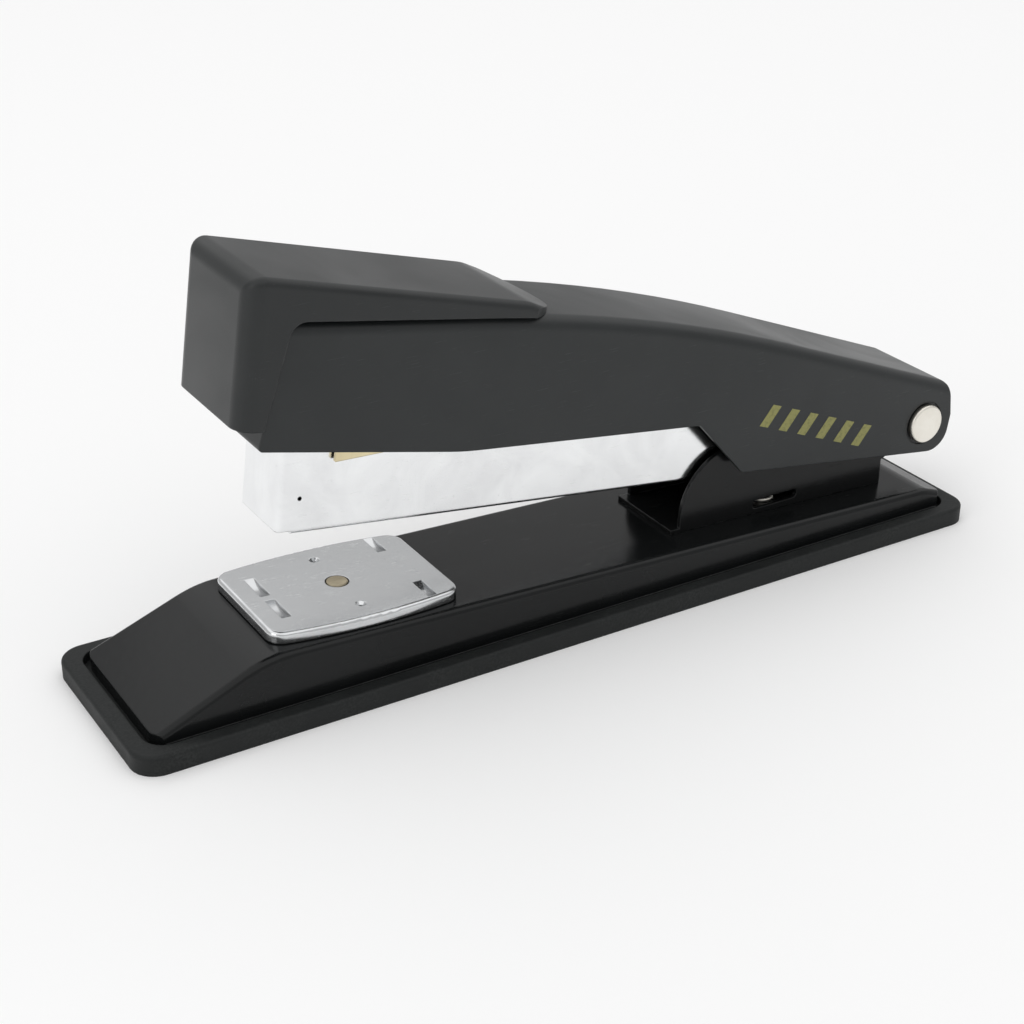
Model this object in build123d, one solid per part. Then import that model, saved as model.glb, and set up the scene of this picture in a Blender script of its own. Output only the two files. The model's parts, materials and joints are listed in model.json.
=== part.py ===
from build123d import *
from math import cos, radians, tan
import os

# Desk stapler: stamped base on a rubber sole, hinged magazine and hinged cover on one pin.
#
# Frame: millimetres, +Z up, +X from the nose towards the hinge, origin on the underside of the
# sole, at the middle of its length and width. The magazine and the cover are drawn level, with
# the hinge pin at their own origin, and are then turned nose-up to the angle they rest at.

# ---------------------------------------------------------------- driving dimensions
# rubber sole
SOLE_LENGTH = 190.0
SOLE_WIDTH = 43.0
SOLE_HEIGHT = 3.8
SOLE_CORNER = 5.0
SOLE_FLOOR = 1.8
POCKET_LENGTH = 183.4
POCKET_WIDTH = 37.0
POCKET_CORNER = 4.4
FINGER_HOLE_RADIUS = 7.0

# stamped steel base: a ramp at the front, then a top that falls gently to the rear
SHEET = 0.9
BASE_FRONT = -90.3
BASE_REAR = 90.6
BASE_LIP = 4.7
BASE_CREST_X = -68.0
BASE_CREST_Z = 13.6
BASE_SLOPE = 2.2
BASE_REAR_LIP = 6.0
BASE_FOOT_HALF = 18.1
BASE_WAIST_HALF = 17.2
BASE_WAIST_Z = 4.0
BASE_FLANGE_Z = 3.2
SHOULDER_X = 85.5
BASE_DRAFT = 5.0
BASE_CORNER = 4.2
CREASE_RADIUS = 1.4

# anvil, on its own tilted frame
ANVIL_X = -46.5
ANVIL_LENGTH = 38.8
ANVIL_WIDTH = 29.4
ANVIL_BOW = 1.7
ANVIL_CORNER = 3.4
ANVIL_RISE = 2.3
ANVIL_SHEET = 0.9
ANVIL_GAP = 0.15
ANVIL_STEM_RADIUS = 1.6
ANVIL_HEAD_RADIUS = 2.1
CLINCH_X = -14.2
CLINCH_Y = 4.5
PINNING_X = 13.2
PINNING_Y = 10.0
GROOVE_BACK = 0.6
DIMPLE_Y = 9.7
DIMPLE_FOOT = 0.5
DIMPLE_MOUTH = 1.25

# hinge bracket and pin
HINGE_X = 87.0
HINGE_Z = 21.5
PIN_RADIUS = 2.5
PIN_HEAD_RADIUS = 4.25
PIN_RECESS_RADIUS = 4.8
PIN_RECESS_DEPTH = 0.4
PIN_HEAD_THICKNESS = 1.3
RUNNING_GAP = 0.06
BRACKET_SHEET = 0.9
EAR_OUTER = 9.3
EAR_FRONT = 26.0
EAR_REAR = 79.0
EAR_TOP = 26.5
EAR_ARC = 14.0
BRACKET_FRONT = 23.7
BRACKET_REAR = 79.0
SPRING_SEAT_REAR = 84.6
SPRING_SEAT = (1.4, 5.4)
RIVET_RADIUS = 1.5
BRACKET_RIVETS = [(x, y) for x in (50.0, 72.0) for y in (-5.0, 5.0)]

# magazine, level, hinge pin at its origin
MAGAZINE_ANGLE = 7.4
MAGAZINE_NOSE = -148.7
MAGAZINE_HALF = 7.5
MAGAZINE_SHEET = 0.8
MAGAZINE_BOTTOM = -8.9
MAGAZINE_TOP = 8.0
NOSE_TOP = 12.0
NOSE_LENGTH = 10.5
MAGAZINE_BEND = 1.0
EXIT_SLOT = 2.0
FLOOR_END = -14.0
ARM_RADIUS = 5.4
SMALL_RIVET_RADIUS = 1.2
RAIL_RIVETS = (-132.0, -30.0)

# staples and what feeds them
RAIL_HALF = 5.6
RAIL_SHEET = 0.7
RAIL_FRONT = -145.9
RAIL_REAR = -18.0
RAIL_TOP = -2.4
STAPLE_HALF = 6.4
STAPLE_WIRE = 0.5
STRIP_LENGTH = 61.0
ROD_RADIUS = 1.1
ROD_Z = -4.9
PUSHER_LENGTH = 12.5
PUSHER_SPRING_RADIUS = 2.0
SPRING_WIRE = 0.5

# cover, level, hinge pin at its origin
COVER_ANGLE = 8.5
COVER_HALF = 12.8
COVER_SHEET = 1.0
COVER_EDGE_RADIUS = 2.6
COVER_FRONT = -151.6
COVER_ROOF_FRONT = (-148.5, 30.0)
COVER_ROOF_BREAK = (-112.0, 28.8)
COVER_ROOF_BEND = (-40.0, 19.2)
COVER_ROOF_REAR = (5.4, 8.5)
ROOF_FALL = 0.236

# front cap, drawn with the cover
CAP_HALF = 13.4
CAP_WALL = 1.5
CAP_FRONT = -160.3
CAP_TOP_FRONT = 38.0
CAP_TOP_REAR = (-105.0, 31.3)
CAP_TONGUE = (-95.0, 27.8)
CAP_BOTTOM = 10.9
CAP_GAP = 0.05

# driver and its carrier, drawn with the cover
BLADE_X = -146.85
BLADE_THICKNESS = 0.6
BLADE_HALF = 6.2
BLADE_TIP = -4.2
CARRIER_FRONT = -138.8
CARRIER_REAR = -66.0
CARRIER_INNER = 8.0
CARRIER_SHEET = 0.8
CARRIER_BOTTOM = 2.2
CARRIER_TOP = 22.2
BLADE_TAB_TOP = 28.1
DRIVER_RIVETS = (-144.0, -139.5)
CARRIER_RIVETS = (-132.0, -119.0)
RETURN_RIVET = -74.0
ROOF_HEAD_GAP = 0.1
LEAF_THICKNESS = 0.5


# ---------------------------------------------------------------- frames and helpers
def base_top(x):
    """Height of the base's top sheet at x, behind the crest of the ramp."""
    return BASE_CREST_Z - tan(radians(BASE_SLOPE)) * (x - BASE_CREST_X)


ANVIL_FRAME = Location((ANVIL_X, 0, base_top(ANVIL_X)), (0, BASE_SLOPE, 0))
MAGAZINE_FRAME = Location((HINGE_X, 0, HINGE_Z), (0, MAGAZINE_ANGLE, 0))
COVER_FRAME = Location((HINGE_X, 0, HINGE_Z), (0, COVER_ANGLE, 0))
BRACKET_FRAME = Location((HINGE_X, 0, HINGE_Z))


def box(x0, x1, y0, y1, z0, z1):
    """Block between two corners."""
    block = Box(x1 - x0, y1 - y0, z1 - z0)
    return Pos((x0 + x1) / 2, (y0 + y1) / 2, (z0 + z1) / 2) * block


def across(outline, half):
    """Prism of an XZ outline, from -half to +half in Y."""
    face = Plane.XZ * make_face(outline)
    return extrude(face, amount=half, both=True)


def side_prism(outline, y0, y1):
    """Prism of an XZ outline, from y0 to y1."""
    face = Plane.XZ * make_face(outline)
    return Pos(0, y1, 0) * extrude(face, amount=y1 - y0)


def rod_y(x, z, radius, y0, y1):
    """Round bar along Y."""
    bar = Cylinder(radius, y1 - y0, rotation=(90, 0, 0))
    return Pos(x, (y0 + y1) / 2, z) * bar


def rod_z(x, y, radius, z0, z1):
    """Round bar along Z."""
    return Pos(x, y, (z0 + z1) / 2) * Cylinder(radius, z1 - z0)


def rod_x(y, z, radius, x0, x1):
    """Round bar along X."""
    bar = Cylinder(radius, x1 - x0, rotation=(0, 90, 0))
    return Pos((x0 + x1) / 2, y, z) * bar


def coil(radius, wire, length, turns):
    """Helical wire along +Z, starting at the origin."""
    path = Helix(pitch=length / turns, height=length, radius=radius)
    section = Plane(path @ 0, z_dir=path % 0) * Circle(wire / 2)
    return sweep(section, path, is_frenet=True)


def keep(name, shape):
    """Write one sub-part."""
    export_step(shape, f"parts/{name}.step")


# ---------------------------------------------------------------- sole and base
def sole_pad():
    """Rubber tray: a rim round a pocket that holds the base, with a finger hole below the anvil."""
    outline = RectangleRounded(SOLE_LENGTH, SOLE_WIDTH, SOLE_CORNER)
    pocket = RectangleRounded(POCKET_LENGTH, POCKET_WIDTH, POCKET_CORNER)
    tray = extrude(outline, SOLE_HEIGHT)
    tray = fillet(tray.edges().group_by(Axis.Z)[-1], 0.7)
    tray -= Pos(0, 0, SOLE_FLOOR) * extrude(pocket, SOLE_HEIGHT)
    return tray - rod_z(ANVIL_X, 0, FINGER_HOLE_RADIUS, -1, SOLE_HEIGHT)


def base_block(inset, bottom, crease):
    """Solid form of the base, drawn in by the sheet thickness for its inside."""
    front = BASE_FRONT + inset
    rear = BASE_REAR - inset
    drop = inset * 1.05
    overrun = 8.0
    ramp = (BASE_CREST_Z - BASE_LIP) / (BASE_CREST_X - BASE_FRONT)
    fall = (base_top(SHOULDER_X) - BASE_REAR_LIP) / (BASE_REAR - SHOULDER_X)
    points = [
        (BASE_FRONT - overrun, -10),
        (BASE_FRONT - overrun, BASE_LIP - ramp * overrun - drop),
        (BASE_CREST_X, BASE_CREST_Z - drop),
        (SHOULDER_X, base_top(SHOULDER_X) - drop),
        (BASE_REAR + overrun, BASE_REAR_LIP - fall * overrun - drop),
        (BASE_REAR + overrun, -10),
    ]
    side = make_face(Polyline(*points, close=True))
    side = fillet(side.vertices().sort_by_distance((BASE_CREST_X, BASE_CREST_Z, 0))[0], 22)
    side = fillet(side.vertices().sort_by_distance((SHOULDER_X, base_top(SHOULDER_X), 0))[0], 9)
    form = extrude(Plane.XZ * side, amount=30, both=True)

    lean = tan(radians(BASE_DRAFT))
    waist = BASE_WAIST_HALF - inset
    wide = waist + (BASE_WAIST_Z + 12) * lean
    narrow = waist - (20 - BASE_WAIST_Z) * lean
    section = make_face(Polyline((wide, -12), (narrow, 20), (-narrow, 20), (-wide, -12), close=True))
    form &= extrude(Plane.YZ * section, amount=120, both=True)
    if crease > 0:
        long_edges = form.edges().filter_by(lambda e: abs(e.center().Y) > 12 and e.center().Z > -2)
        form = fillet(long_edges.filter_by(lambda e: abs(e.center().X) < 96), crease)

    middle = (front + rear) / 2
    half = BASE_FOOT_HALF - inset
    plan = RectangleRounded(rear - front, 2 * half, max(BASE_CORNER - inset, 1))
    form &= Pos(middle, 0, bottom) * extrude(plan, 40)
    flange = Pos(middle, 0, bottom) * extrude(plan, BASE_FLANGE_Z - inset - bottom)
    return form + flange


def base_shell():
    """Stamped base: a hollow tray turned over, ramped at the front and pierced for its rivets."""
    shell = base_block(0, SOLE_FLOOR, CREASE_RADIUS) - base_block(SHEET, SOLE_FLOOR - 2, 0)
    shell -= ANVIL_FRAME * rod_z(0, 0, ANVIL_STEM_RADIUS + RUNNING_GAP, -3, 3)
    for x, y in BRACKET_RIVETS:
        shell -= rod_z(x, y, RIVET_RADIUS, base_top(x) - 4, base_top(x) + 4)
    return shell


# ---------------------------------------------------------------- anvil
def anvil_outline(inset):
    """Rounded plan of the anvil with its long sides bowed out."""
    x = ANVIL_LENGTH / 2 - inset
    y = ANVIL_WIDTH / 2 - inset
    near = ThreePointArc((-x, -y + ANVIL_BOW), (0, -y), (x, -y + ANVIL_BOW))
    far = ThreePointArc((x, y - ANVIL_BOW), (0, y), (-x, y - ANVIL_BOW))
    ends = [Line((x, -y + ANVIL_BOW), (x, y - ANVIL_BOW)), Line((-x, y - ANVIL_BOW), (-x, -y + ANVIL_BOW))]
    face = make_face([near, ends[0], far, ends[1]])
    return fillet(face.vertices(), ANVIL_CORNER - inset)


def groove(x, y, length, depth, width):
    """Trough across the anvil that curls a staple leg; the form that is cut away."""
    radius = (length * length / 4 + depth * depth) / (2 * depth)
    return Pos(x, y, ANVIL_RISE + radius - depth) * Cylinder(radius, width, rotation=(0, 90, 0))


def anvil_grooves(extra):
    """The two pairs of troughs: close together for closed legs, far apart for open ones."""
    cuts = []
    for side in (-1, 1):
        cuts.append(groove(CLINCH_X, side * CLINCH_Y, 7.4 + extra, 0.8 + extra, 1.9 + extra))
        cuts.append(groove(PINNING_X, side * PINNING_Y, 6.2 + extra, 0.8 + extra, 1.9 + extra))
    return cuts


def anvil_plate():
    """Chromed plate with a turned-down rim, two pairs of leg grooves and two punched dimples."""
    plate = Pos(0, 0, ANVIL_GAP) * extrude(anvil_outline(0), ANVIL_RISE - ANVIL_GAP)
    plate = fillet(plate.edges().group_by(Axis.Z)[-1], 0.75)
    under = Pos(0, 0, -1) * extrude(anvil_outline(ANVIL_SHEET), ANVIL_RISE - ANVIL_SHEET + 1)
    for boss in anvil_grooves(GROOVE_BACK):
        under -= boss
    plate -= under
    for trough in anvil_grooves(0):
        plate -= trough
    for side in (-1, 1):
        cone = Cone(DIMPLE_FOOT, DIMPLE_MOUTH, DIMPLE_MOUTH - DIMPLE_FOOT + 0.2)
        plate -= Pos(0, side * DIMPLE_Y, ANVIL_RISE - 0.2) * cone
        plate -= rod_z(0, side * DIMPLE_Y, DIMPLE_FOOT, 0, ANVIL_RISE)
    stem = rod_z(0, 0, ANVIL_STEM_RADIUS + RUNNING_GAP, -1, 4)
    head = rod_z(0, 0, ANVIL_HEAD_RADIUS + 0.2, ANVIL_RISE - 0.45, 4)
    return plate - stem - head


def anvil_pivot():
    """Headed stem the anvil turns on."""
    stem = rod_z(0, 0, ANVIL_STEM_RADIUS, -7.6, ANVIL_RISE - 0.3)
    head = rod_z(0, 0, ANVIL_HEAD_RADIUS, ANVIL_RISE - 0.4, ANVIL_RISE + 0.15)
    head = fillet(head.edges().group_by(Axis.Z)[-1], 0.3)
    return stem + head


def anvil_button():
    """Round foot under the base that a finger pushes to lift the anvil."""
    button = rod_z(0, 0, 4.4, -7.6, -6.5)
    button = fillet(button.edges().group_by(Axis.Z)[0], 0.4)
    return button - rod_z(0, 0, ANVIL_STEM_RADIUS, -9, -5)


def anvil_spring():
    """Coil that pulls the anvil down onto the base."""
    return Pos(0, 0, -6.2) * coil(2.9, SPRING_WIRE, 4.7, 3.5)


# ---------------------------------------------------------------- hinge
def ear_outline():
    """Side view of one ear: round in front, a boss round the pin, a square foot behind."""
    centre_x = EAR_FRONT + EAR_ARC
    centre_z = EAR_TOP - EAR_ARC
    corner = EAR_ARC * (1 - cos(radians(45)))
    foot = base_top(EAR_FRONT)
    rear_foot = base_top(EAR_REAR)
    return [
        Line((EAR_REAR, rear_foot), (EAR_FRONT, foot)),
        Line((EAR_FRONT, foot), (EAR_FRONT, centre_z)),
        ThreePointArc((EAR_FRONT, centre_z), (EAR_FRONT + corner, EAR_TOP - corner), (centre_x, EAR_TOP)),
        Line((centre_x, EAR_TOP), (HINGE_X - 2, EAR_TOP)),
        ThreePointArc(
            (HINGE_X - 2, EAR_TOP),
            (HINGE_X + 5.3, HINGE_Z + 0.6),
            (HINGE_X - 1, HINGE_Z - 5.2),
        ),
        Line((HINGE_X - 1, HINGE_Z - 5.2), (EAR_REAR, 13.5)),
        Line((EAR_REAR, 13.5), (EAR_REAR, rear_foot)),
    ]


def floor_outline(front, rear):
    """Side view of a stretch of the bracket's floor, lying on the base."""
    return Polyline(
        (front, base_top(front)),
        (rear, base_top(rear)),
        (rear, base_top(rear) + BRACKET_SHEET),
        (front, base_top(front) + BRACKET_SHEET),
        close=True,
    )


def hinge_bracket():
    """U-shaped bracket: a riveted floor, a seat for the spring, two ears with a slot in each foot."""
    bracket = across(floor_outline(BRACKET_FRONT, BRACKET_REAR), EAR_OUTER)
    bracket += side_prism(floor_outline(BRACKET_REAR - 1, SPRING_SEAT_REAR), *SPRING_SEAT)
    for side in (-1, 1):
        low, high = sorted((side * (EAR_OUTER - BRACKET_SHEET), side * EAR_OUTER))
        bracket += side_prism(ear_outline(), low, high)
        arch = box(44.5, 56.0, low - 1, high + 1, base_top(50) + 1.35, base_top(50) + 3.3)
        bracket -= fillet(arch.edges().filter_by(Axis.Y), 0.9)
    bracket -= rod_y(HINGE_X, HINGE_Z, PIN_RADIUS, -20, 20)
    for x, y in BRACKET_RIVETS:
        bracket -= rod_z(x, y, RIVET_RADIUS, base_top(x) - 4, base_top(x) + 4)
    return bracket


def bracket_rivet(x, y):
    """Rivet with a low head above the bracket and another under the base."""
    level = base_top(x)
    shank = rod_z(x, y, RIVET_RADIUS, level - SHEET - 0.4, level + BRACKET_SHEET + 0.4)
    head = rod_z(x, y, 2.6, level + BRACKET_SHEET + 0.1, level + BRACKET_SHEET + 1.0)
    head = fillet(head.edges().group_by(Axis.Z)[-1], 0.5)
    tail = rod_z(x, y, 2.4, level - SHEET - 1.1, level - SHEET - 0.15)
    return shank + head + tail


def hinge_pin():
    """Riveted pin through cover, ears and magazine, with a flat round head at each side."""
    inner = COVER_HALF - PIN_RECESS_DEPTH + 0.15
    pin = rod_y(0, 0, PIN_RADIUS, -inner - 0.2, inner + 0.2)
    for side in (-1, 1):
        low, high = sorted((side * inner, side * (inner + PIN_HEAD_THICKNESS)))
        head = rod_y(0, 0, PIN_HEAD_RADIUS, low, high)
        outer_edge = head.edges().filter_by(GeomType.CIRCLE).sort_by(Axis.Y)[-1 if side > 0 else 0]
        pin += fillet(outer_edge, 0.5)
    return pin


def pin_ring(inner, outer, low, high):
    """Washer or spacer round the hinge pin."""
    return rod_y(0, 0, outer, low, high) - rod_y(0, 0, inner, low - 1, high + 1)


def mirrored_pair(shape):
    """The shape and its mirror image across the middle plane."""
    return Compound(children=[shape, mirror(shape, about=Plane.XZ)])


def lift_spring():
    """Torsion spring round the pin: one leg stands on the bracket, the other lifts the magazine."""
    radius = 3.6
    wire = 0.9
    leg = 0.4
    length = 6.0
    body = Pos(0, length / 2, 0) * Rot(0, 180, 0) * Rot(90, 0, 0) * coil(radius, wire, length, 5.25)
    leg_floor = base_top(HINGE_X - radius) + BRACKET_SHEET + 0.1 - HINGE_Z
    down = rod_z(-radius, length / 2, leg, leg_floor, 0.2)
    front = rod_x(-length / 2, -radius, leg, -7.2, 0.2)
    return body + down + front


# ---------------------------------------------------------------- magazine
def magazine_outline(inset):
    """Side view of the channel: a tall nose, a long body, round arms at the pin."""
    nose = MAGAZINE_NOSE + inset
    step = MAGAZINE_NOSE + NOSE_LENGTH
    return Polyline(
        (nose, MAGAZINE_BOTTOM + inset),
        (ARM_RADIUS - 4, MAGAZINE_BOTTOM + inset),
        (ARM_RADIUS, -5.0),
        (ARM_RADIUS, 3.0),
        (ARM_RADIUS - 3, MAGAZINE_TOP),
        (step + 4, MAGAZINE_TOP),
        (step, NOSE_TOP),
        (nose, NOSE_TOP),
        close=True,
    )


def magazine_channel():
    """Folded chrome channel, open on top, with two front flanges that leave a tapering slit."""
    channel = across(magazine_outline(0), MAGAZINE_HALF)
    bends = channel.edges().filter_by(Axis.X).group_by(Axis.Z)[0]
    bends += channel.edges().filter_by(Axis.Z).group_by(Axis.X)[0]
    channel = fillet(bends, MAGAZINE_BEND)
    inside = MAGAZINE_HALF - MAGAZINE_SHEET
    channel -= box(MAGAZINE_NOSE + MAGAZINE_SHEET, 20, -inside, inside, MAGAZINE_BOTTOM + MAGAZINE_SHEET, 20)
    exit_start = MAGAZINE_NOSE + MAGAZINE_SHEET
    channel -= box(exit_start, exit_start + EXIT_SLOT, -inside, inside, -20, 0)
    channel -= box(MAGAZINE_NOSE - 1, exit_start + EXIT_SLOT + 0.3, -20, 20, -20, MAGAZINE_BOTTOM + 0.8)
    channel -= box(FLOOR_END, 20, -inside, inside, -20, 0)
    low = MAGAZINE_BOTTOM - 1
    slit = Polyline((-0.55, 20), (0.55, 20), (0.12, low), (-0.12, low), close=True)
    channel -= Pos(MAGAZINE_NOSE - 1, 0, 0) * extrude(make_face(Plane.YZ * slit), 2.4)
    channel -= rod_y(MAGAZINE_NOSE + 4.2, -2.0, 0.4, -20, 20)
    channel -= rod_y(0, 0, PIN_RADIUS + RUNNING_GAP, -20, 20)
    for x in RAIL_RIVETS:
        channel -= rod_z(x, 0, SMALL_RIVET_RADIUS, MAGAZINE_BOTTOM - 1, MAGAZINE_BOTTOM + 2)
    return channel


def staple_rail():
    """U-shaped rail the staples straddle, riveted to the magazine floor."""
    floor = MAGAZINE_BOTTOM + MAGAZINE_SHEET
    rail = box(RAIL_FRONT, RAIL_REAR, -RAIL_HALF, RAIL_HALF, floor, RAIL_TOP)
    inside = RAIL_HALF - RAIL_SHEET
    rail -= box(RAIL_FRONT + RAIL_SHEET, RAIL_REAR + 1, -inside, inside, floor + RAIL_SHEET, 5)
    rail -= rod_x(0, ROD_Z, ROD_RADIUS, RAIL_FRONT - 1, RAIL_FRONT + 2)
    for x in RAIL_RIVETS:
        rail -= rod_z(x, 0, SMALL_RIVET_RADIUS, floor - 2, floor + 2)
    return rail


def rail_rivet(x):
    """Flush rivet through rail and magazine floor."""
    floor = MAGAZINE_BOTTOM + MAGAZINE_SHEET
    shank = rod_z(x, 0, SMALL_RIVET_RADIUS, MAGAZINE_BOTTOM + 0.02, floor + RAIL_SHEET + 0.1)
    head = rod_z(x, 0, 1.9, floor + RAIL_SHEET + 0.01, floor + RAIL_SHEET + 0.2)
    return shank + head


def guide_rod():
    """Round rod inside the rail that carries the pusher spring."""
    return rod_x(0, ROD_Z, ROD_RADIUS, RAIL_FRONT, RAIL_REAR + 1.2)


def rod_stop():
    """Upright plate that closes the rear of the rail and holds the rod."""
    floor = MAGAZINE_BOTTOM + MAGAZINE_SHEET + RAIL_SHEET
    plate = box(RAIL_REAR - 1.6, RAIL_REAR - 0.6, -4.85, 4.85, floor, RAIL_TOP + 0.8)
    return plate - rod_x(0, ROD_Z, ROD_RADIUS, RAIL_REAR - 3, RAIL_REAR + 3)


def staple_strip():
    """Glued strip of wire staples standing over the rail."""
    front = RAIL_FRONT - 0.1
    floor = MAGAZINE_BOTTOM + MAGAZINE_SHEET + 0.05
    crown = RAIL_TOP + 0.05
    strip = box(front, front + STRIP_LENGTH, -STAPLE_HALF, STAPLE_HALF, floor, crown + STAPLE_WIRE)
    inside = STAPLE_HALF - STAPLE_WIRE
    return strip - box(front - 1, front + STRIP_LENGTH + 1, -inside, inside, floor - 1, crown)


def pusher():
    """Folded saddle over the rail with a bored block that slides on the rod."""
    front = RAIL_FRONT + STRIP_LENGTH
    rear = front + PUSHER_LENGTH
    top = RAIL_TOP + 0.75
    floor = MAGAZINE_BOTTOM + MAGAZINE_SHEET + 0.1
    saddle = box(front, rear, -STAPLE_HALF, STAPLE_HALF, floor, top)
    saddle -= box(front - 1, rear + 1, -5.75, 5.75, floor - 1, RAIL_TOP + 0.12)
    block = box(front + 1, rear - 5, -4.5, 4.5, floor + RAIL_SHEET + 0.1, RAIL_TOP + 0.4)
    body = saddle + block - rod_x(0, ROD_Z, ROD_RADIUS + RUNNING_GAP, front - 2, rear + 2)
    return fillet(body.edges().filter_by(Axis.X).group_by(Axis.Z)[-1], 0.3)


def pusher_spring():
    """Compression spring on the rod, from the pusher block to the rear stop."""
    start = RAIL_FRONT + STRIP_LENGTH + PUSHER_LENGTH - 5 + 0.35
    end = RAIL_REAR - 1.6 - 0.35
    length = end - start
    return Pos(start, 0, ROD_Z) * Rot(0, 90, 0) * coil(PUSHER_SPRING_RADIUS, 0.45, length, 22)


# ---------------------------------------------------------------- cover
def roof_lines(drop, front):
    """Top line of the cover: straight in front, one long bend, straight down to the hinge."""
    x0, z0 = COVER_ROOF_FRONT
    x1, z1 = COVER_ROOF_BREAK
    x2, z2 = COVER_ROOF_BEND
    x3, z3 = COVER_ROOF_REAR
    return [
        Line((front, z0 - drop), (x1, z1 - drop)),
        TangentArc((x1, z1 - drop), (x2, z2 - drop), tangent=(x1 - x0, z1 - z0)),
        Line((x2, z2 - drop), (x3, z3 - drop)),
    ]


def cover_outline():
    """Side view of the cover: slanting front, arched roof, a notch in front of the hinge."""
    front_top = (COVER_FRONT, COVER_ROOF_FRONT[1])
    rear_top = COVER_ROOF_REAR
    lower = Polyline(
        rear_top,
        (7.4, 1.5),
        (7.4, -6.7),
        (-48.3, -6.8),
        (-61.2, 4.3),
        (-115.0, 3.6),
        (-156.0, 7.1),
        front_top,
    )
    face = make_face(roof_lines(0, front_top[0]) + lower.edges())
    rounded = [((7.4, -6.7), 4.8), (rear_top, 2.0), ((-48.3, -6.8), 1.2), ((-61.2, 4.3), 1.0)]
    rounded += [(front_top, 3.0), ((-115.0, 3.6), 60.0), ((-156.0, 7.1), 0.8)]
    for (x, z), radius in rounded:
        face = fillet(face.vertices().sort_by_distance((x, z, 0))[0], radius)
    return face


def round_roofed(front, rear, half, drop, radius):
    """Long block under the roof line with its two long top edges rounded."""
    x3, z3 = COVER_ROOF_REAR
    roof = roof_lines(drop, front)
    ends = Polyline(
        (x3, z3 - drop),
        (rear, z3 - drop - (rear - x3) * ROOF_FALL),
        (rear, -20),
        (front, -20),
        (front, COVER_ROOF_FRONT[1] - drop),
    )
    block = across(roof + ends.edges(), half)
    edges = block.edges().filter_by(lambda e: e.length > 8 and abs(e.center().Y) > half - 0.1)
    return fillet(edges.filter_by(lambda e: e.center().Z > 5 and abs(e.tangent_at(0.5).X) > 0.7), radius)


def cover_body():
    """Pressed steel cover: an arched channel, open below and behind, pierced for the pin."""
    form = round_roofed(-160.0, 12.0, COVER_HALF, 0, COVER_EDGE_RADIUS)
    shell = form & extrude(Plane.XZ * cover_outline(), amount=COVER_HALF + 1, both=True)
    space = COVER_HALF - COVER_SHEET
    shell -= round_roofed(-154.9, 16.0, space, COVER_SHEET * 1.03, COVER_EDGE_RADIUS - COVER_SHEET)
    shell -= rod_y(0, 0, PIN_RADIUS + RUNNING_GAP, -20, 20)
    recess = COVER_HALF - PIN_RECESS_DEPTH
    shell -= rod_y(0, 0, PIN_RECESS_RADIUS, recess, 20)
    shell -= rod_y(0, 0, PIN_RECESS_RADIUS, -20, -recess)
    for x in DRIVER_RIVETS + CARRIER_RIVETS:
        shell -= rod_z(x, 0, SMALL_RIVET_RADIUS, 20, 34)
    return shell


def cap_outline(wall):
    """Side view of the hood: front, top, rear tongue and the seam it shares with the cover."""
    x0 = CAP_FRONT + wall
    z0 = CAP_TOP_FRONT - wall
    rear_x, rear_z = CAP_TOP_REAR
    tongue_x, tongue_z = CAP_TONGUE
    seam = COVER_ROOF_FRONT[1] + CAP_GAP
    points = [
        (x0, CAP_BOTTOM - 2 * wall),
        (x0, z0),
        (rear_x, rear_z - wall),
        (tongue_x + wall, tongue_z - 2 * wall),
        (tongue_x + wall, tongue_z - 2 * wall - 3),
        (-130, seam - 6),
        (-150, seam - 6),
        (-153.5, CAP_BOTTOM - 2 * wall),
    ]
    face = make_face(Polyline(*points, close=True))
    face = fillet(face.vertices().sort_by_distance((x0, z0, 0))[0], max(3.2 - wall, 0.8))
    return fillet(face.vertices().sort_by_distance((rear_x, rear_z - wall, 0))[0], 9)


def cover_form(gap):
    """Solid form of the cover grown by a small gap, to cut its seat out of the cap."""
    form = extrude(Plane.XZ * cover_outline(), amount=CAP_HALF + 2, both=True)
    return Pos(0, 0, gap) * form + Pos(-gap, 0, 0) * form


def cap_plan(half, front, rear, tip):
    """Plan of the cap with rounded front corners and a bowed rear end."""
    corner = 3.6
    lines = [
        Line((front + corner, -half), (rear, -half)),
        ThreePointArc((rear, -half), (rear + tip, 0), (rear, half)),
        Line((rear, half), (front + corner, half)),
        RadiusArc((front + corner, half), (front, half - corner), -corner),
        Line((front, half - corner), (front, -half + corner)),
        RadiusArc((front, -half + corner), (front + corner, -half), -corner),
    ]
    return make_face(lines)


def front_cap():
    """Moulded hood over the front of the cover, ribbed inside."""
    rear = CAP_TOP_REAR[0] + 1.4
    hood = extrude(Plane.XZ * cap_outline(0), amount=CAP_HALF, both=True)
    hood &= extrude(cap_plan(CAP_HALF, CAP_FRONT, rear, 7.6), 60)
    top_edges = hood.edges().filter_by(lambda e: e.center().Z > 29.5 and abs(e.center().Y) > CAP_HALF - 0.3)
    top_edges = top_edges.filter_by(lambda e: e.length > 20 and e.center().Z > 32.0)
    hood = fillet(top_edges, 1.5)
    hollow = extrude(Plane.XZ * cap_outline(CAP_WALL), amount=CAP_HALF - CAP_WALL, both=True)
    hollow &= box(CAP_FRONT, -107, -CAP_HALF, CAP_HALF, 0, 60)
    ribs = box(CAP_FRONT, -90, -0.6, 0.6, 0, 60)
    for x in (-140.0, -127.0, -114.0):
        ribs += box(x, x + 1.2, -CAP_HALF, CAP_HALF, 31.3, 60)
    hood -= hollow - ribs
    hood -= cover_form(CAP_GAP)
    for x in DRIVER_RIVETS + CARRIER_RIVETS:
        hood -= rod_z(x, 0, 2.4, 28, 31.6)
    return hood


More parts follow.
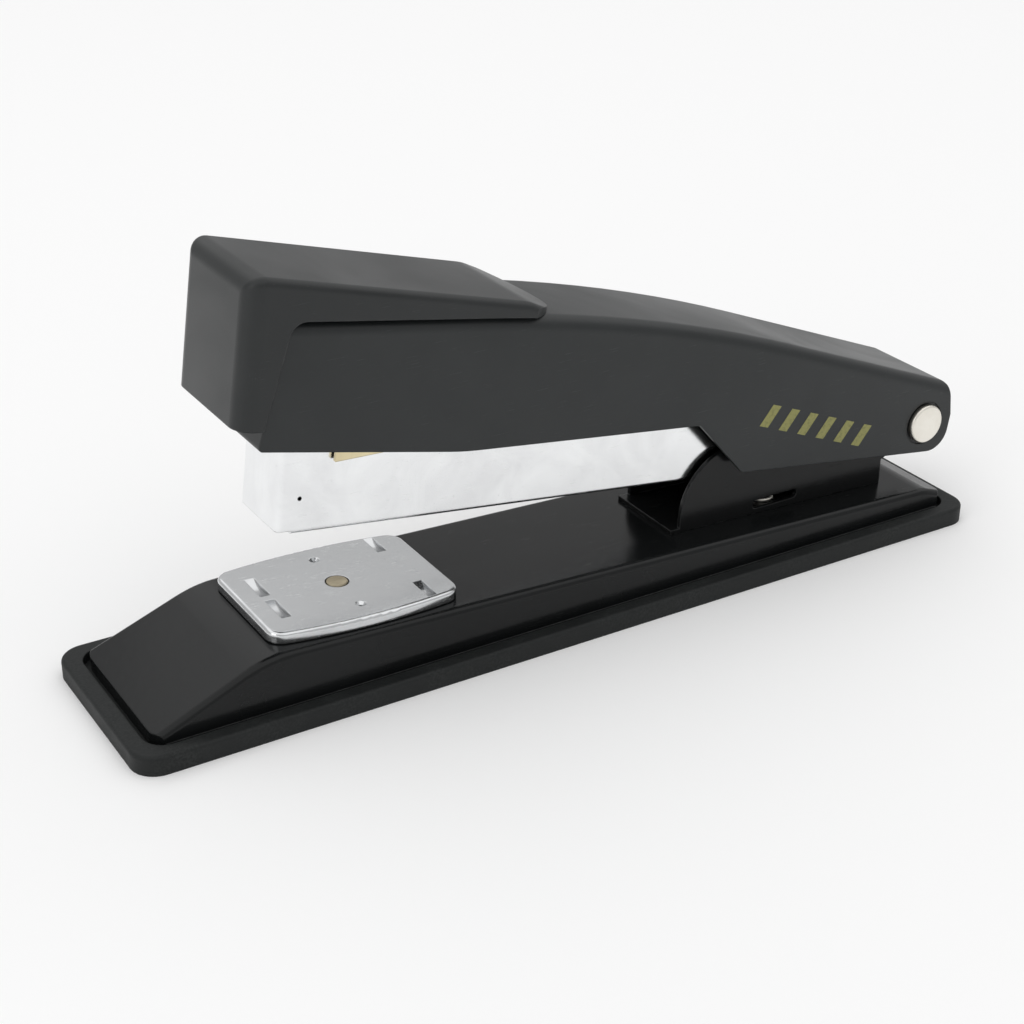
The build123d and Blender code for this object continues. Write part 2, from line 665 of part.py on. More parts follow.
def driver_blade():
    """Flat blade that pushes one staple out, bent over at the top and riveted to the roof."""
    front = BLADE_X - BLADE_THICKNESS / 2
    back = BLADE_X + BLADE_THICKNESS / 2
    tab_low = BLADE_TAB_TOP - BLADE_THICKNESS
    blade = box(front, back, -BLADE_HALF, BLADE_HALF, BLADE_TIP, BLADE_TAB_TOP)
    blade += box(front, -137.0, -BLADE_HALF, BLADE_HALF, tab_low, BLADE_TAB_TOP)
    for x in DRIVER_RIVETS:
        blade -= rod_z(x, 0, SMALL_RIVET_RADIUS, 20, 34)
    return blade


def roof_rivet(x, low, high):
    """Rivet that hangs a sheet under the cover's roof, with a head at each end."""
    shank = rod_z(x, 0, SMALL_RIVET_RADIUS, low, high)
    top = rod_z(x, 0, 2.1, high, high + 0.6)
    bottom = rod_z(x, 0, 2.1, low - 0.7, low)
    return shank + top + bottom


def driver_carrier():
    """Plated channel under the cover that keeps the magazine in line; its lower edge rises behind."""
    outer = CARRIER_INNER + CARRIER_SHEET
    side = Polyline(
        (CARRIER_FRONT, CARRIER_BOTTOM),
        (CARRIER_FRONT, CARRIER_TOP),
        (CARRIER_REAR, CARRIER_TOP),
        (CARRIER_REAR, CARRIER_BOTTOM + 4.0),
        (CARRIER_FRONT + 30, CARRIER_BOTTOM + 3.2),
        close=True,
    )
    carrier = across(side, outer)
    carrier = fillet(carrier.edges().filter_by(Axis.X).group_by(Axis.Z)[-1], 1.2)
    roof = CARRIER_TOP - CARRIER_SHEET
    carrier -= box(CARRIER_FRONT - 1, CARRIER_REAR + 1, -CARRIER_INNER, CARRIER_INNER, 0, roof)
    for x in CARRIER_RIVETS + (RETURN_RIVET,):
        carrier -= rod_z(x, 0, SMALL_RIVET_RADIUS, CARRIER_TOP - 3, CARRIER_TOP + 3)
    return carrier


def return_spring():
    """Leaf under the carrier that lifts the cover after each stroke."""
    top = CARRIER_TOP - CARRIER_SHEET
    tip = 8.6
    low = tip - 0.6
    leaf = Polyline(
        (-70.0, top),
        (-84.0, top),
        (-112.0, low),
        (-117.0, tip),
        (-117.0, tip - LEAF_THICKNESS),
        (-112.0, low - LEAF_THICKNESS - 0.1),
        (-84.2, top - LEAF_THICKNESS),
        (-70.0, top - LEAF_THICKNESS),
        close=True,
    )
    return across(leaf, 4.0) - rod_z(RETURN_RIVET, 0, SMALL_RIVET_RADIUS + 0.05, top - 3, top + 3)


# ---------------------------------------------------------------- the set
def roof_at(x):
    """Height of the cover's straight outer roof at x, for the rivets under the cap."""
    x0, z0 = COVER_ROOF_FRONT
    x1, z1 = COVER_ROOF_BREAK
    return z0 + (z1 - z0) * (x - x0) / (x1 - x0)


def build():
    """Every sub-part in the shared frame at rest."""
    spacer = pin_ring(PIN_RADIUS + 0.02, 4.2, 9.4, 11.6)
    washer = pin_ring(PIN_RADIUS + 0.02, 4.0, 7.62, 8.2)
    parts = {
        "sole_pad": sole_pad(),
        "base_shell": base_shell(),
        "anvil_plate": ANVIL_FRAME * anvil_plate(),
        "anvil_pivot": ANVIL_FRAME * anvil_pivot(),
        "anvil_button": ANVIL_FRAME * anvil_button(),
        "anvil_spring": ANVIL_FRAME * anvil_spring(),
        "hinge_bracket": hinge_bracket(),
        "bracket_rivets": Compound(children=[bracket_rivet(x, y) for x, y in BRACKET_RIVETS]),
        "hinge_pin": BRACKET_FRAME * hinge_pin(),
        "cover_spacers": BRACKET_FRAME * mirrored_pair(spacer),
        "magazine_washers": BRACKET_FRAME * mirrored_pair(washer),
        "lift_spring": BRACKET_FRAME * lift_spring(),
        "magazine_channel": MAGAZINE_FRAME * magazine_channel(),
        "staple_rail": MAGAZINE_FRAME * staple_rail(),
        "rail_rivets": MAGAZINE_FRAME * Compound(children=[rail_rivet(x) for x in RAIL_RIVETS]),
        "guide_rod": MAGAZINE_FRAME * guide_rod(),
        "rod_stop": MAGAZINE_FRAME * rod_stop(),
        "staple_strip": MAGAZINE_FRAME * staple_strip(),
        "pusher": MAGAZINE_FRAME * pusher(),
        "pusher_spring": MAGAZINE_FRAME * pusher_spring(),
        "cover_body": COVER_FRAME * cover_body(),
        "front_cap": COVER_FRAME * front_cap(),
        "driver_blade": COVER_FRAME * driver_blade(),
        "driver_carrier": COVER_FRAME * driver_carrier(),
        "return_spring": COVER_FRAME * return_spring(),
    }
    tab_low = BLADE_TAB_TOP - BLADE_THICKNESS
    carrier_low = CARRIER_TOP - CARRIER_SHEET
    blade_rivets = [roof_rivet(x, tab_low, roof_at(x) + ROOF_HEAD_GAP) for x in DRIVER_RIVETS]
    hangers = [roof_rivet(x, carrier_low, roof_at(x) + ROOF_HEAD_GAP) for x in CARRIER_RIVETS]
    leaf_low = carrier_low - LEAF_THICKNESS - 0.05
    parts["driver_rivets"] = COVER_FRAME * Compound(children=blade_rivets)
    parts["carrier_rivets"] = COVER_FRAME * Compound(children=hangers)
    parts["spring_rivet"] = COVER_FRAME * roof_rivet(RETURN_RIVET, leaf_low, CARRIER_TOP)
    return parts


if __name__ == "__main__":
    os.makedirs("parts", exist_ok=True)
    for node, solid in build().items():
        keep(node, solid)
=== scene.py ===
# A long-arm desk stapler in a plain studio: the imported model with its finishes, its wire pieces
# and a printed stripe. Metres, +Z up, +X from the nose towards the hinge.
import json
import math

import bpy
import numpy as np
from mathutils import Matrix, Vector


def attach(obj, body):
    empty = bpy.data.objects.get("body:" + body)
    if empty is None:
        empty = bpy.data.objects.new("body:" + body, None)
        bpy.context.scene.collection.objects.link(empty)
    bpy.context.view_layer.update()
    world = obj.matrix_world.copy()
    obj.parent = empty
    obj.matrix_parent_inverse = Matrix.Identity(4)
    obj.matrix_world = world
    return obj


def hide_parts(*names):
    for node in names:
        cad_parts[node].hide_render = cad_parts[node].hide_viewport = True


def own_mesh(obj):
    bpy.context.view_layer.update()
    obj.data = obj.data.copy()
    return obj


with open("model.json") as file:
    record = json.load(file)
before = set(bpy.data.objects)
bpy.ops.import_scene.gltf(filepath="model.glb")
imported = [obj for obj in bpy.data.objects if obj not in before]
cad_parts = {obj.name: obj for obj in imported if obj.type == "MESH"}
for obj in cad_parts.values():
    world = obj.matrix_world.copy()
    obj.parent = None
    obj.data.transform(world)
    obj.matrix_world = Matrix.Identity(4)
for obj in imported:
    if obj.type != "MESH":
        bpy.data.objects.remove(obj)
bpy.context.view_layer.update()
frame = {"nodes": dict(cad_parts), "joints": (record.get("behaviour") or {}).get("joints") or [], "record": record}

NODES = frame["nodes"]
JOINTS = {joint["name"]: joint for joint in frame["joints"]}
SLOTS = {part["node"]: part["material_slot"] for part in frame["record"]["subparts"]}
MM = 0.001

# ---------------------------------------------------------------- directions read from the joints
# the hinge line, the way the pusher slides back and the way the anvil lifts
HINGE = Vector(JOINTS["magazine_tilt"]["pos_m"])
BACKWARD = Vector(JOINTS["pusher_slide"]["axis"]).normalized()
UPWARD = Vector(JOINTS["anvil_lift"]["axis"]).normalized()
ANVIL_CENTRE = Vector(JOINTS["anvil_turn"]["pos_m"])
COVER_ANGLE = math.radians(8.5)


def turned(angle, origin):
    """Frame tipped nose-up by angle about the Y axis at origin."""
    return Matrix.Translation(origin) @ Matrix.Rotation(angle, 4, "Y")


MAGAZINE_FRAME = turned(math.atan2(-BACKWARD.z, BACKWARD.x), HINGE)
COVER_FRAME = turned(COVER_ANGLE, HINGE)
ANVIL_FRAME = turned(math.atan2(UPWARD.x, UPWARD.z), ANVIL_CENTRE)


# ---------------------------------------------------------------- node trees
def node(tree, kind, inputs=None, **settings):
    """One node, with its settings, and its inputs set or linked."""
    made = tree.nodes.new("ShaderNode" + kind)
    for name, value in settings.items():
        setattr(made, name, value)
    for name, value in (inputs or {}).items():
        if isinstance(value, bpy.types.NodeSocket):
            tree.links.new(value, made.inputs[name])
        else:
            made.inputs[name].default_value = value
    return made


def coordinates(tree, stretch=(1, 1, 1), turn=0.0):
    """The piece's own coordinates in metres, scaled along each axis."""
    place = node(tree, "TexCoord").outputs["Object"]
    settings = {"Vector": place, "Scale": stretch, "Rotation": (0, turn, 0)}
    return node(tree, "Mapping", settings).outputs["Vector"]


def noise(tree, place, size, detail=2.0, roughness=0.5, distortion=0.0):
    """Noise whose features are about size metres across, from 0 to 1."""
    inputs = {"Vector": place, "Scale": 1 / size, "Detail": detail, "Roughness": roughness}
    inputs["Distortion"] = distortion
    return node(tree, "TexNoise", inputs).outputs["Fac"]


def between(tree, value, low, high, new_low=0.0, new_high=1.0):
    """Value stretched from low..high to new_low..new_high and clamped."""
    inputs = {"Value": value, "From Min": low, "From Max": high, "To Min": new_low, "To Max": new_high}
    return node(tree, "MapRange", inputs).outputs["Result"]


def combine(tree, operation, a, b):
    """Arithmetic on two values or sockets."""
    made = node(tree, "Math", operation=operation)
    for socket, value in zip(made.inputs, (a, b)):
        if isinstance(value, bpy.types.NodeSocket):
            tree.links.new(value, socket)
        else:
            socket.default_value = value
    return made.outputs["Value"]


def mix(tree, factor, first, second):
    """Colour from first to second by factor."""
    made = node(tree, "Mix", {0: factor}, data_type="RGBA")
    for socket, value in ((made.inputs[6], first), (made.inputs[7], second)):
        if isinstance(value, bpy.types.NodeSocket):
            tree.links.new(value, socket)
        else:
            socket.default_value = (*value, 1)
    return made.outputs[2]


def soft_edges(tree, radius):
    """Normal with its edges rounded, and how much of an edge there is at each point."""
    rounded = node(tree, "Bevel", {"Radius": radius}, samples=6).outputs["Normal"]
    flat = node(tree, "NewGeometry").outputs["Normal"]
    dot = node(tree, "VectorMath", {0: rounded, 1: flat}, operation="DOT_PRODUCT").outputs["Value"]
    return rounded, between(tree, dot, 0.995, 0.90)


def crevice(tree, reach, low, high):
    """How closed in a point is by surfaces within reach metres, from 0 to 1."""
    openness = node(tree, "AmbientOcclusion", {"Distance": reach}, samples=8).outputs["AO"]
    return between(tree, openness, low, high, 1.0, 0.0)


def scratches(tree, size, length, amount, turn=0.0):
    """Sparse fine lines that run mostly one way, from 0 to 1."""
    place = coordinates(tree, (size / length, 1, 1), turn)
    lines = noise(tree, place, size, 2, 0.6, 0.3)
    gaps = noise(tree, coordinates(tree), size * 22, 2)
    return combine(
        tree,
        "MULTIPLY",
        between(tree, lines, 0.66 - amount, 0.70 - amount),
        between(tree, gaps, 0.48, 0.62),
    )


def bumped(tree, height, distance, normal, strength=1.0):
    """Normal raised by height times distance metres."""
    inputs = {"Height": height, "Distance": distance, "Strength": strength, "Normal": normal}
    return node(tree, "Bump", inputs).outputs["Normal"]


def start(name):
    """An empty material: its tree and its principled shader."""
    material = bpy.data.materials.new(name)
    material.use_nodes = True
    tree = material.node_tree
    tree.nodes.clear()
    shader = node(tree, "BsdfPrincipled")
    output = node(tree, "OutputMaterial")
    tree.links.new(shader.outputs["BSDF"], output.inputs["Surface"])
    return material, tree, shader


def finish_with(tree, shader, **sockets):
    """Set or link the shader's sockets by name; underscores stand for spaces."""
    for name, value in sockets.items():
        socket = shader.inputs[name.replace("_", " ")]
        if isinstance(value, bpy.types.NodeSocket):
            tree.links.new(value, socket)
        elif isinstance(value, tuple):
            socket.default_value = (*value, 1)
        else:
            socket.default_value = value


# ---------------------------------------------------------------- finishes
def enamel(name, tone, worn, gloss, peel):
    """Stoved black enamel: orange peel, faint haze, dust and edges rubbed a little lighter."""
    material, tree, shader = start(name)
    place = coordinates(tree)
    rounded, edge = soft_edges(tree, 0.35 * MM)
    haze = noise(tree, place, 26 * MM, 4, 0.6)
    dust = between(tree, noise(tree, place, 0.30 * MM, 1), 0.76, 0.82)
    marks = scratches(tree, 0.16 * MM, 9 * MM, 0.0, 0.3)
    rub = combine(tree, "MULTIPLY", edge, between(tree, noise(tree, place, 2.6 * MM, 3), 0.42, 0.68))
    toned = mix(tree, between(tree, haze, 0.35, 0.7), tone, tuple(1.35 * c for c in tone))
    toned = mix(tree, combine(tree, "MULTIPLY", dust, 0.12), toned, (0.16, 0.16, 0.155))
    toned = mix(tree, combine(tree, "MULTIPLY", rub, 0.40), toned, worn)
    sheen = between(tree, haze, 0.3, 0.75, gloss, gloss + 0.10)
    sheen = combine(tree, "ADD", sheen, combine(tree, "MULTIPLY", marks, 0.16))
    sheen = combine(tree, "ADD", sheen, combine(tree, "MULTIPLY", rub, 0.20))
    ripple = noise(tree, place, 1.7 * MM, 1)
    normal = bumped(tree, ripple, peel * MM, rounded)
    normal = bumped(tree, combine(tree, "MULTIPLY", marks, -1.0), 0.006 * MM, normal)
    finish_with(tree, shader, Base_Color=toned, Roughness=sheen, Normal=normal)
    finish_with(tree, shader, Specular_IOR_Level=0.24)
    return material


def satin(name, tone, light, rough, grain_size, grain_depth, worn):
    """Satin paint or moulded plastic: fine grain, soft mottling, handling shine and pale edges."""
    material, tree, shader = start(name)
    place = coordinates(tree)
    rounded, edge = soft_edges(tree, 0.45 * MM)
    mottle = noise(tree, place, 18 * MM, 5, 0.6)
    grain = noise(tree, place, grain_size * MM, 2, 0.55)
    handled = noise(tree, place, 34 * MM, 3, 0.5, 0.6)
    marks = scratches(tree, 0.14 * MM, 6 * MM, 0.0, -0.5)
    rub = combine(tree, "MULTIPLY", edge, between(tree, noise(tree, place, 2.2 * MM, 3), 0.35, 0.70))
    toned = mix(tree, between(tree, mottle, 0.3, 0.72), tone, light)
    toned = mix(tree, combine(tree, "MULTIPLY", between(tree, grain, 0.45, 0.75), 0.35), toned, light)
    toned = mix(tree, combine(tree, "MULTIPLY", rub, 0.5), toned, worn)
    toned = mix(tree, combine(tree, "MULTIPLY", marks, 0.25), toned, worn)
    sheen = between(tree, handled, 0.35, 0.70, rough - 0.07, rough + 0.06)
    sheen = combine(tree, "ADD", sheen, combine(tree, "MULTIPLY", grain, 0.06))
    normal = bumped(tree, grain, grain_depth * MM, rounded)
    normal = bumped(tree, combine(tree, "MULTIPLY", marks, -1.0), 0.008 * MM, normal)
    finish_with(tree, shader, Base_Color=toned, Roughness=sheen, Normal=normal)
    finish_with(tree, shader, Specular_IOR_Level=0.42)
    return material


def plated(name, bright, dull, rough, lines, waves=0.004, edge_size=0.25):
    """Bright plating or bare wire: drawn lines, fingermarks, pits, soft edges and painted shade in crevices."""
    material, tree, shader = start(name)
    place = coordinates(tree)
    rounded, edge = soft_edges(tree, edge_size * MM)
    smudge = noise(tree, place, 12 * MM, 5, 0.62, 0.8)
    drawn = noise(tree, coordinates(tree, (0.03, 1, 1)), 0.22 * MM, 2, 0.6)
    pits = between(tree, noise(tree, place, 0.42 * MM, 1), 0.72, 0.80)
    marks = scratches(tree, 0.12 * MM, 5 * MM, 0.02, 0.8)
    toned = mix(tree, between(tree, smudge, 0.35, 0.75), bright, dull)
    toned = mix(tree, combine(tree, "MULTIPLY", pits, 0.45), toned, tuple(0.45 * c for c in dull))
    toned = mix(tree, combine(tree, "MULTIPLY", edge, 0.25), toned, bright)
    # painted shade: ambient occlusion darkens crevices, slits and contact lines almost to black
    painted_crevice_shade = crevice(tree, 1.2 * MM, 0.25, 0.72)
    toned = mix(tree, combine(tree, "MULTIPLY", painted_crevice_shade, 0.92), toned, (0.020, 0.018, 0.015))
    sheen = between(tree, smudge, 0.35, 0.75, rough, rough + 0.12)
    sheen = combine(tree, "ADD", sheen, combine(tree, "MULTIPLY", marks, 0.15))
    sheen = combine(tree, "ADD", sheen, combine(tree, "MULTIPLY", drawn, lines))
    normal = bumped(tree, noise(tree, place, 5 * MM, 1), waves * MM, rounded)
    normal = bumped(tree, drawn, 0.004 * MM * lines / 0.1, normal)
    uneven = combine(tree, "ADD", combine(tree, "MULTIPLY", pits, -1.0), marks)
    normal = bumped(tree, uneven, 0.004 * MM, normal)
    finish_with(tree, shader, Base_Color=toned, Roughness=sheen, Normal=normal, Metallic=1.0)
    return material


def rubber(name, tone, dust_and_edge_highlight):
    """Moulded rubber: matt skin, fine pores, patches of paler dust and its edges painted paler as a highlight."""
    material, tree, shader = start(name)
    place = coordinates(tree)
    rounded, edge = soft_edges(tree, 0.5 * MM)
    skin = noise(tree, place, 0.45 * MM, 3, 0.6)
    patches = noise(tree, place, 9 * MM, 5, 0.65)
    dust = combine(tree, "MULTIPLY", between(tree, patches, 0.40, 0.72), between(tree, skin, 0.4, 0.62))
    toned = mix(tree, combine(tree, "MULTIPLY", dust, 0.6), tone, dust_and_edge_highlight)
    # painted highlight: every edge is painted paler with the dust colour
    toned = mix(tree, combine(tree, "MULTIPLY", edge, 0.35), toned, dust_and_edge_highlight)
    sheen = between(tree, patches, 0.3, 0.75, 0.50, 0.68)
    normal = bumped(tree, skin, 0.05 * MM, rounded)
    finish_with(tree, shader, Base_Color=toned, Roughness=sheen, Normal=normal)
    finish_with(tree, shader, Specular_IOR_Level=0.28)
    return material


def printed(name, tone, thin):
    """Screen-printed ink: slightly uneven cover with a soft gloss."""
    material, tree, shader = start(name)
    place = coordinates(tree)
    cover = noise(tree, place, 0.8 * MM, 4, 0.7)
    toned = mix(tree, between(tree, cover, 0.48, 0.75), tone, thin)
    sheen = between(tree, cover, 0.3, 0.7, 0.34, 0.50)
    flat = node(tree, "NewGeometry").outputs["Normal"]
    normal = bumped(tree, cover, 0.01 * MM, flat)
    finish_with(tree, shader, Base_Color=toned, Roughness=sheen, Normal=normal)
    return material


FINISHES = {
    "sole_rubber": rubber("sole_rubber", (0.0090, 0.0104, 0.0104), (0.034, 0.037, 0.036)),
    "base_enamel": enamel("base_enamel", (0.0060, 0.0066, 0.0068), (0.060, 0.063, 0.062), 0.13, 0.008),
    "bracket_enamel": enamel(
        "bracket_enamel", (0.0060, 0.0064, 0.0066), (0.070, 0.072, 0.072), 0.16, 0.008
    ),
    "cover_paint": satin(
        "cover_paint",
        (0.0110, 0.0132, 0.0138),
        (0.0160, 0.0184, 0.0190),
        0.38, 0.30, 0.012,
        (0.080, 0.084, 0.084),
    ),
    "cap_plastic": satin(
        "cap_plastic",
        (0.0105, 0.0124, 0.0128),
        (0.0155, 0.0174, 0.0180),
        0.36, 0.24, 0.016,
        (0.085, 0.088, 0.088),
    ),
    "magazine_chrome": plated("magazine_chrome", (0.92, 0.93, 0.935), (0.80, 0.806, 0.815), 0.10, 0.08),
    "anvil_chrome": plated("anvil_chrome", (0.70, 0.71, 0.72), (0.60, 0.61, 0.62), 0.12, 0.05, 0.010, 0.3),
    "nickel": plated("nickel", (0.86, 0.83, 0.76), (0.74, 0.70, 0.62), 0.30, 0.06, 0.004, 0.4),
    "aged_brass": plated("aged_brass", (0.56, 0.49, 0.35), (0.20, 0.17, 0.12), 0.38, 0.08, 0.040, 0.4),
    "brass_plate": plated("brass_plate", (0.80, 0.70, 0.45), (0.66, 0.56, 0.36), 0.24, 0.08),
    "zinc_steel": plated("zinc_steel", (0.66, 0.67, 0.69), (0.50, 0.51, 0.53), 0.30, 0.12),
    "spring_steel": plated("spring_steel", (0.52, 0.53, 0.55), (0.34, 0.35, 0.37), 0.26, 0.06, 0.002, 0.1),
    "driver_steel": plated("driver_steel", (0.50, 0.51, 0.53), (0.36, 0.37, 0.39), 0.28, 0.12),
    "staple_wire": plated("staple_wire", (0.78, 0.79, 0.80), (0.62, 0.63, 0.65), 0.24, 0.05, 0.002, 0.08),
    "stripe_ink": printed("stripe_ink", (0.250, 0.243, 0.070), (0.120, 0.120, 0.040)),
}


def dress(piece, slot):
    """Give a piece its finish in every material slot."""
    piece.data.materials.clear()
    piece.data.materials.append(FINISHES[slot])


for name, cad in NODES.items():
    dress(cad, SLOTS[name])


# ---------------------------------------------------------------- pieces made here
def span(name, place):
    """Lowest and highest corner of a CAD node in a local frame, in millimetres."""
    cad = NODES[name]
    turn = place.inverted() @ cad.matrix_world
    points = np.array([turn @ vertex.co for vertex in cad.data.vertices]) / MM
    return points.min(axis=0), points.max(axis=0)


def piece_from(name, points, faces, place, finish, body, smooth=True):
    """Mesh in a local frame in millimetres, placed, finished and riding on a body."""
    mesh = bpy.data.meshes.new(name)
    mesh.from_pydata([tuple(p) for p in points], [], [tuple(int(i) for i in f) for f in faces])
    mesh.validate()
    mesh.transform(place @ Matrix.Scale(MM, 4))
    for polygon in mesh.polygons:
        polygon.use_smooth = smooth
    made = bpy.data.objects.new(name, mesh)
    bpy.context.scene.collection.objects.link(made)
    mesh.materials.append(FINISHES[finish])
    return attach(made, body)


def swept(path, section, first_side):
    """Points and faces of a closed section carried along a path and capped at both ends."""
    path = np.asarray(path, float)
    ahead = np.gradient(path, axis=0)
    ahead /= np.linalg.norm(ahead, axis=1)[:, None]
    side = np.asarray(first_side, float)
    points = []
    for centre, direction in zip(path, ahead):
        side = side - direction * side.dot(direction)
        side /= np.linalg.norm(side)
        other = np.cross(direction, side)
        points += [centre + u * side + v * other for u, v in section]
    count = len(section)
    faces = []
    for ring in range(len(path) - 1):
        for k in range(count):
            a = ring * count + k
            b = ring * count + (k + 1) % count
            faces.append((a, b, b + count, a + count))
    last = (len(path) - 1) * count
    faces.append(tuple(range(count - 1, -1, -1)))
    faces.append(tuple(last + k for k in range(count)))
    return points, faces


def round_section(radius, sides):
    """Corners of a round wire's section."""
    turns = [2 * math.pi * k / sides for k in range(sides)]
    return [(radius * math.cos(turn), radius * math.sin(turn)) for turn in turns]


def helix(radius, start, length, turns, wire, steps):
    """Path of a compression spring along +X, its end coils closed up against each other."""
    closed = 1.5
    pitch = (length - wire - 2 * closed * wire) / (turns - 2 * closed)
    path = []
    for i in range(int(turns * steps) + 1):
        turn = i / steps
        flat = min(turn, closed) + max(turn - (turns - closed), 0.0)
        x = start + wire / 2 + flat * wire + (turn - flat) * pitch
        angle = 2 * math.pi * turn
        path.append((x, radius * math.cos(angle), radius * math.sin(angle)))
    return path


def staple_path(half, low, high, bend):
    """Path of one staple's wire: leg, rounded shoulder, crown, shoulder and leg."""
    shoulder = []
    for k in range(5):
        angle = math.radians(22.5 * k)
        shoulder.append((half - bend + bend * math.cos(angle), high - bend + bend * math.sin(angle)))
    right = [(half, low), (half, (low + high) / 2)] + shoulder
    left = [(-y, z) for y, z in reversed(right)]
    return [(0.0, y, z) for y, z in right + left]


STAPLE_PITCH = 0.53
STAPLE_WIRE = 0.49
STAPLE_WANDER = 0.02
STAPLE_UNEVENNESS = 7.3
STAPLE_BEND = 0.7


def staples():
    """The strip of staples: separate bent wires side by side, in place of the plain strip."""
    low, high = span("staple_strip", MAGAZINE_FRAME)
    count = int((high[0] - low[0]) / STAPLE_PITCH)
    half_wire = STAPLE_WIRE / 2
    cut = half_wire * 0.6
    section = [
        (half_wire, cut),
        (cut, half_wire),
        (-cut, half_wire),
        (-half_wire, cut),
        (-half_wire, -cut),
        (-cut, -half_wire),
        (cut, -half_wire),
        (half_wire, -cut),
    ]
    path = staple_path(high[1] - half_wire, low[2], high[2] - half_wire, STAPLE_BEND)
    one_points, one_faces = swept(path, section, (1, 0, 0))
    points = []
    faces = []
    for i in range(count):
        ahead = low[0] + half_wire + i * (high[0] - low[0] - STAPLE_WIRE) / (count - 1)
        drop = STAPLE_WANDER * math.sin(STAPLE_UNEVENNESS * i) * 0.5 - STAPLE_WANDER
        shift = np.array((ahead, 0, drop))
        start_at = len(points)
        points += [point + shift for point in one_points]
        faces += [tuple(start_at + index for index in face) for face in one_faces]
    finish = "staple_wire"
    made = piece_from("staples", points, faces, MAGAZINE_FRAME, finish, "magazine", False)
    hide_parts("staple_strip")


FEED_WIRE = 0.5
FEED_TURNS = 30
SEAT_WIRE = 0.6
SEAT_TURNS = 4.5


def feed_spring():
    """Compression spring round the guide rod, in place of its smooth stand-in."""
    low, high = span("pusher_spring", MAGAZINE_FRAME)
    length = high[0] - low[0]
    path = helix((high[1] - low[1] - FEED_WIRE) / 2, 0.0, length, FEED_TURNS, FEED_WIRE, 16)
    points, faces = swept(path, round_section(FEED_WIRE / 2, 8), (0, 1, 0))
    centre_z = (low[2] + high[2]) / 2
    points = [point + np.array((low[0], 0, centre_z)) for point in points]
    finish = "spring_steel"
    made = piece_from("feed_spring", points, faces, MAGAZINE_FRAME, finish, "magazine")
    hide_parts("pusher_spring")
    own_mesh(made)


def seat_spring():
    """Compression spring under the base that holds the anvil down."""
    low, high = span("anvil_spring", ANVIL_FRAME)
    length = high[2] - low[2]
    lying = helix((high[1] - low[1] - SEAT_WIRE) / 2, 0.0, length, SEAT_TURNS, SEAT_WIRE, 20)
    path = [(y, z, low[2] + x) for x, y, z in lying]
    points, faces = swept(path, round_section(SEAT_WIRE / 2, 8), (1, 0, 0))
    made = piece_from("seat_spring", points, faces, ANVIL_FRAME, "spring_steel", "base")
    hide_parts("anvil_spring")
    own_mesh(made)


BAR_COUNT = 6
BAR_FIRST = -46.0
BAR_STEP = 5.2
BAR_WIDTH = 2.2
BAR_LOW = 3.0
BAR_HIGH = 7.4
BAR_LEAN = 2.6
BAR_FALL = 0.24
INK_THICKNESS = 0.03


def stripe_bars():
    """Plain slanted bars printed on the cover's near side."""
    low, _ = span("cover_body", COVER_FRAME)
    inner = low[1] + INK_THICKNESS
    outer = low[1] - INK_THICKNESS
    points = []
    faces = []
    for i in range(BAR_COUNT):
        x = BAR_FIRST + i * BAR_STEP
        fall = BAR_FALL * i * BAR_STEP
        corners = [
            (x, BAR_LOW - fall),
            (x + BAR_WIDTH, BAR_LOW - fall - 0.5),
            (x + BAR_WIDTH + BAR_LEAN, BAR_HIGH - fall - 0.5),
            (x + BAR_LEAN, BAR_HIGH - fall),
        ]
        start_at = len(points)
        points += [(u, outer, v) for u, v in corners] + [(u, inner, v) for u, v in corners]
        sides = [(3, 2, 1, 0), (4, 5, 6, 7), (0, 1, 5, 4), (1, 2, 6, 5), (2, 3, 7, 6), (3, 0, 4, 7)]
        faces += [tuple(start_at + index for index in face) for face in sides]
    piece_from("stripe_bars", points, faces, COVER_FRAME, "stripe_ink", "cover", False)


staples()
feed_spring()
seat_spring()
stripe_bars()

scene = bpy.context.scene


# ---------------------------------------------------------------- camera, floor and light
CAMERA_TARGET = Vector((-8.11, 0, 19.53)) * MM
CAMERA_AZIMUTH = math.radians(-31.61)
CAMERA_ELEVATION = math.radians(27.08)
CAMERA_ROLL = math.radians(0.34)
CAMERA_DISTANCE = 0.3681
CAMERA_LENS = 66.28


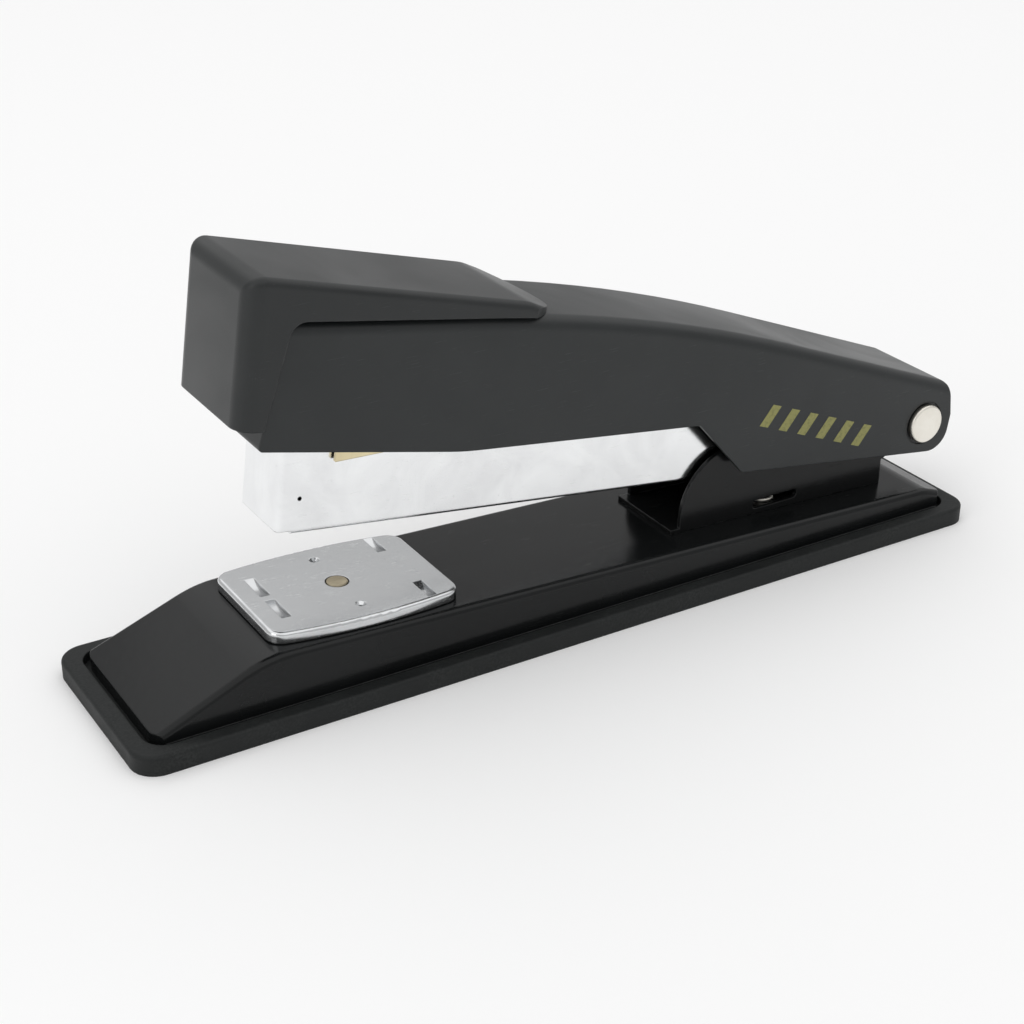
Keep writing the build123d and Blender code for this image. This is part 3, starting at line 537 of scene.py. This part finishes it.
def studio_camera():
    """Camera that looks down on the nose from the front left."""
    az, el = CAMERA_AZIMUTH, CAMERA_ELEVATION
    back = Vector((math.sin(az) * math.cos(el), -math.cos(az) * math.cos(el), math.sin(el)))
    level = Vector((math.cos(az), math.sin(az), 0))
    upright = back.cross(level)
    right = math.cos(CAMERA_ROLL) * level + math.sin(CAMERA_ROLL) * upright
    up = back.cross(right)
    data = bpy.data.cameras.new("camera")
    data.sensor_width = 36
    data.lens = CAMERA_LENS
    data.clip_start = 0.01
    camera = bpy.data.objects.new("camera", data)
    axes = Matrix((right, up, back)).transposed().to_4x4()
    camera.matrix_world = Matrix.Translation(CAMERA_TARGET + CAMERA_DISTANCE * back) @ axes
    scene.collection.objects.link(camera)
    scene.camera = camera


def studio_floor():
    """Wide pale floor under the sole."""
    mesh = bpy.data.meshes.new("floor")
    reach = 6.0
    corners = [(-reach, -reach, 0), (reach, -reach, 0), (reach, reach, 0), (-reach, reach, 0)]
    mesh.from_pydata(corners, [], [(0, 1, 2, 3)])
    floor = bpy.data.objects.new("floor", mesh)
    scene.collection.objects.link(floor)
    material, tree, shader = start("floor_paper")
    finish_with(tree, shader, Base_Color=(0.955, 0.955, 0.955), Roughness=0.9, Specular_IOR_Level=0.1)
    mesh.materials.append(material)


def softbox(name, place, target, width, height, radiance):
    """Rectangular light that faces target."""
    data = bpy.data.lights.new(name, "AREA")
    data.shape = "RECTANGLE"
    data.size = width
    data.size_y = height
    data.energy = radiance * math.pi * width * height
    light = bpy.data.objects.new(name, data)
    light.location = place
    light.rotation_mode = "QUATERNION"
    light.rotation_quaternion = (Vector(place) - Vector(target)).to_track_quat("Z", "Y")
    scene.collection.objects.link(light)


def studio_light():
    """Even surroundings, a wide ceiling and a smaller panel at the front left."""
    world = bpy.data.worlds.new("studio")
    world.use_nodes = True
    world.node_tree.nodes["Background"].inputs["Color"].default_value = (1, 1, 1, 1)
    world.node_tree.nodes["Background"].inputs["Strength"].default_value = 0.58
    scene.world = world
    softbox("ceiling", (0.1, 0.1, 1.5), (0, 0, 0), 3.6, 3.6, 0.62)
    softbox("front_left", (-1.3, -0.25, 0.55), (0, 0, 0.05), 0.7, 0.7, 1.5)


studio_camera()
studio_floor()
studio_light()
scene.view_settings.view_transform = "Standard"
scene.view_settings.look = "None"
